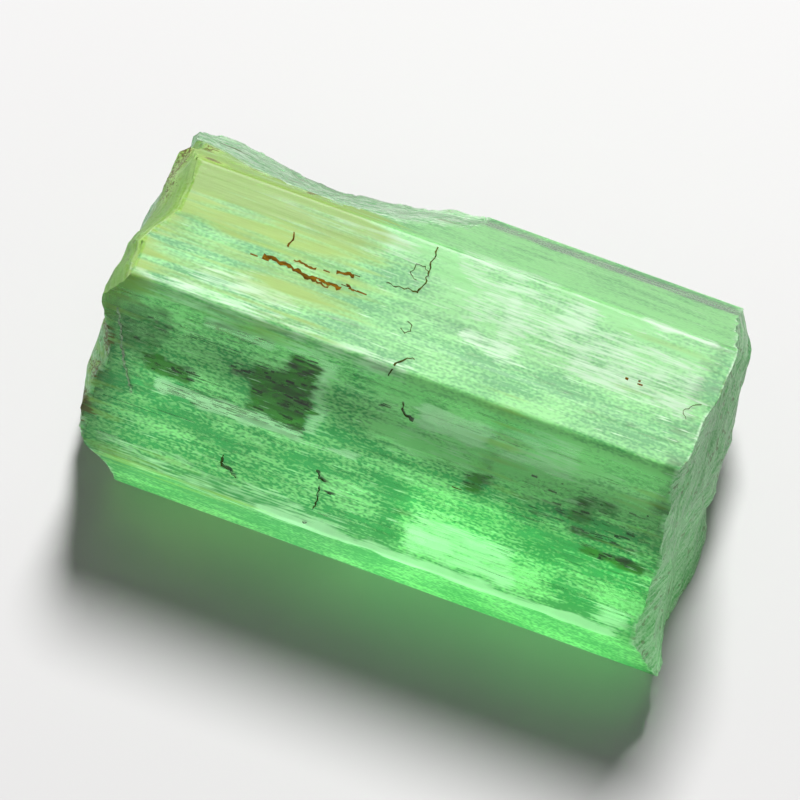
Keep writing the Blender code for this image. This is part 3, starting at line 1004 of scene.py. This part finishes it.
class MINERAL_OT_dark_flakes(Operator):
    """Scatter clusters of dark mica flakes inside the crystal"""

    bl_idname = "mineral.dark_flakes"
    bl_label = "Dark flakes"

    def execute(self, context):
        settings = context.scene.emerald_inclusions
        # Biotite mica: thin green-black flakes with a dull gloss.
        finish = plain_finish("biotite_flakes", tuple(settings.flake), 0.45)
        scattered_piece("dark_flakes", DARK_FLAKES, settings, 4, math.radians(4), finish,
                        settings.margin)
        return {"FINISHED"}


class MINERAL_OT_iron_films(Operator):
    """Lay skins of iron rust in the striations of the top face"""

    bl_idname = "mineral.iron_films"
    bl_label = "Iron films"

    def execute(self, context):
        settings = context.scene.emerald_inclusions
        # Limonite: earthy brown iron rust that has no gloss.
        finish = plain_finish("limonite_film", tuple(settings.film), 0.95, gleam=0.05)
        scattered_piece("iron_films", IRON_FILMS, settings, 5, math.radians(0.8), finish,
                        -settings.relief)
        return {"FINISHED"}


CRACK_STEP = 0.07               # mm
CRACK_WOBBLE = 0.03             # mm to both sides
CRACK_HALF = (0.25, 0.75)       # half its width, as shares of its thickness
CRACK_FLOOR = (0.4, 1.0)        # shares of its depth
CRACK_TAPER = 0.3               # width of its floor, as a share of its top's


def crack_ribbon(shape, surface, face, points, thickness, depth, relief, rng):
    """Adds a thin closed wall that follows points on a face and goes down into the crystal."""
    path = []
    for start, end in zip(points, points[1:]):
        start, end = Vector((*start, 0.0)), Vector((*end, 0.0))
        steps = max(2, round((end - start).length / CRACK_STEP))
        path += [start.lerp(end, step / steps) for step in range(steps)]
    path.append(Vector((*points[-1], 0.0)))
    place = face.place()
    rings = []
    for number, point in enumerate(path):
        ahead = path[min(number + 1, len(path) - 1)] - path[max(number - 1, 0)]
        side = Vector((-ahead.y, ahead.x, 0.0)).normalized()
        middle = point + side * rng.uniform(-CRACK_WOBBLE, CRACK_WOBBLE)
        half = thickness * rng.uniform(*CRACK_HALF)
        floor = depth * rng.uniform(*CRACK_FLOOR)
        drop = (surface_drop(surface, face, place @ middle) or 0.0) / MM
        foot = half * CRACK_TAPER
        corners = ((-half, -relief), (half, -relief), (foot, floor), (-foot, floor))
        rings.append([
            shape.verts.new(place @ (middle + side * across + Vector((0.0, 0.0, drop + deep))))
            for across, deep in corners])
    join_rings(shape, rings)


def cracked_piece(name, cracks, settings, colour, relief):
    """One piece of all the ribbons of some cracks, whose tops stand relief out of the surface."""
    rng = random.Random(settings.seed)
    surface, faces = crystal_faces()
    shape = bmesh.new()
    for face, thickness, points in cracks:
        crack_ribbon(shape, surface, faces[face], points, thickness,
                     settings.crack_depth / MM, relief / MM, rng)
    bmesh.ops.recalc_face_normals(shape, faces=shape.faces)
    piece = to_object(shape, name)
    piece.data.materials.append(plain_finish(name + "_fill", tuple(colour), 0.9, gleam=0.1))
    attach(piece, BODY)


class MINERAL_OT_cracks(Operator):
    """Cut stained, rusty, pale and healed cracks into the top and front of the crystal"""

    bl_idname = "mineral.cracks"
    bl_label = "Cracks"

    def execute(self, context):
        settings = context.scene.emerald_inclusions
        # Iron and clay drawn into a crack make it a dark olive line without gloss.
        cracked_piece("stained_cracks", STAINED_CRACKS, settings, settings.crack,
                      settings.relief)
        # Iron rust fills the widest seams in an earthy orange-brown.
        cracked_piece("rust_veins", RUST_VEINS, settings, settings.film, settings.relief)
        # A crack with air in it shows as a thin pale line.
        cracked_piece("pale_cracks", PALE_CRACKS, settings, settings.pale_crack, settings.relief)
        # A healed crack is full of tiny bubbles, and shows as a soft pale green line.
        cracked_piece("healed_cracks", HEALED_CRACKS, settings, settings.healed,
                      -settings.healed_depth)
        return {"FINISHED"}


# ------------------ the stage

def angle_property(name, description, degrees):
    """A property that holds an angle."""
    return FloatProperty(name=name, description=description, default=math.radians(degrees),
                         subtype="ANGLE", unit="ROTATION")


class StageSettings(PropertyGroup):
    view_azimuth: angle_property("View azimuth", "Turn of the camera round the crystal", 21)
    view_elevation: angle_property("View elevation", "Height of the camera above the horizon", 70)
    view_width: length_property("View width", "Width that the picture takes in", 20.0)
    view_distance: length_property("View distance", "Distance of the camera", 320.0)
    lamp_distance: length_property("Lamp distance", "Distance of the lamp", 300.0)
    lamp_size: length_property("Lamp size", "Width of the lamp", 70.0)
    lamp_power: FloatProperty(
        name="Lamp power", description="Power of the lamp", default=1.72, unit="POWER")
    sky_strength: FloatProperty(
        name="Sky strength", description="Strength of the light from all round", default=0.22)
    paper: colour_property("Paper", "The paper under the crystal", "bab9b9")


PICTURE_WIDTH = 800             # pixels
CRYSTAL_OFFSET = (21, 32)       # pixels: crystal right of and above the frame's middle
SENSOR_WIDTH = 36.0             # mm
LAMP_DIRECTION = (-0.08, 0.58, 0.82)
PAPER_SIZE = 0.6                # from the middle to a side
PAPER_GAP = 0.01 * MM           # keeps the paper clear of the crystal's bottom


def point_camera(settings):
    """Makes the camera, a little off the crystal's middle."""
    low, high = CAD_BOX
    azimuth, elevation = settings.view_azimuth, settings.view_elevation
    back = Vector((
        math.sin(azimuth) * math.cos(elevation),
        -math.cos(azimuth) * math.cos(elevation),
        math.sin(elevation),
    ))
    right = Vector((math.cos(azimuth), math.sin(azimuth), 0.0))
    up = back.cross(right)
    pixel = settings.view_width / PICTURE_WIDTH
    aside, above = (pixel * offset for offset in CRYSTAL_OFFSET)
    aim = (low + high) / 2 - right * aside - up * above
    data = bpy.data.cameras.new("camera")
    data.sensor_width = SENSOR_WIDTH
    data.lens = data.sensor_width * settings.view_distance / settings.view_width
    camera = bpy.data.objects.new("camera", data)
    camera.location = aim + back * settings.view_distance
    camera.rotation_euler = Matrix((right, up, back)).transposed().to_euler()
    bpy.context.scene.collection.objects.link(camera)
    bpy.context.scene.camera = camera


def add_lamp(settings):
    """Adds a round lamp, high behind the crystal, that shines on it."""
    light = bpy.data.lights.new("key", "AREA")
    light.shape = "DISK"
    light.size = settings.lamp_size
    light.energy = settings.lamp_power
    direction = Vector(LAMP_DIRECTION)
    holder = bpy.data.objects.new("key", light)
    holder.location = direction.normalized() * settings.lamp_distance
    holder.rotation_euler = (-direction).to_track_quat("-Z", "Y").to_euler()
    bpy.context.scene.collection.objects.link(holder)


class MINERAL_OT_stage(Operator):
    """Lay out the paper, the lights and the camera"""

    bl_idname = "mineral.stage"
    bl_label = "Stage"

    def execute(self, context):
        scene = context.scene
        settings = scene.emerald_stage
        point_camera(settings)
        add_lamp(settings)

        shape = bmesh.new()
        bmesh.ops.create_grid(shape, x_segments=1, y_segments=1, size=PAPER_SIZE)
        bmesh.ops.translate(shape, verts=shape.verts, vec=(0.0, 0.0, -PAPER_GAP))
        floor = to_object(shape, "floor")
        # White paper, matt all over.
        paper, _, shader = new_material("paper")
        feed(shader, {"Base Color": tuple(settings.paper), "Roughness": 0.9})
        floor.data.materials.append(paper)

        world = bpy.data.worlds.new("world")
        world.use_nodes = True
        feed(world.node_tree.nodes["Background"], {
            "Color": linear("ffffff"), "Strength": settings.sky_strength})
        scene.world = world
        scene.view_settings.view_transform = "Standard"
        scene.cycles.sample_clamp_indirect = 0.0
        return {"FINISHED"}


class MINERAL_PT_panel(Panel):
    """Lists what makes the crystal and its stage"""

    bl_idname = "MINERAL_PT_panel"
    bl_label = "Emerald crystal"
    bl_space_type = "VIEW_3D"
    bl_region_type = "UI"
    bl_category = "Emerald"

    def draw(self, context):
        for operator in OPERATORS:
            self.layout.operator(operator.bl_idname)


OPERATORS = (
    MINERAL_OT_crystal,
    MINERAL_OT_growth_tubes,
    MINERAL_OT_dark_flakes,
    MINERAL_OT_iron_films,
    MINERAL_OT_cracks,
    MINERAL_OT_stage,
)
CLASSES = (CrystalSettings, InclusionSettings, StageSettings, *OPERATORS, MINERAL_PT_panel)


def register():
    for cls in CLASSES:
        bpy.utils.register_class(cls)
    bpy.types.Scene.emerald_crystal = PointerProperty(type=CrystalSettings)
    bpy.types.Scene.emerald_inclusions = PointerProperty(type=InclusionSettings)
    bpy.types.Scene.emerald_stage = PointerProperty(type=StageSettings)


def unregister():
    del bpy.types.Scene.emerald_stage
    del bpy.types.Scene.emerald_inclusions
    del bpy.types.Scene.emerald_crystal
    for cls in reversed(CLASSES):
        bpy.utils.unregister_class(cls)


def main():
    register()
    for operator in OPERATORS:
        group, name = operator.bl_idname.split(".")
        getattr(getattr(bpy.ops, group), name)()


if __name__ == "__main__":
    main()
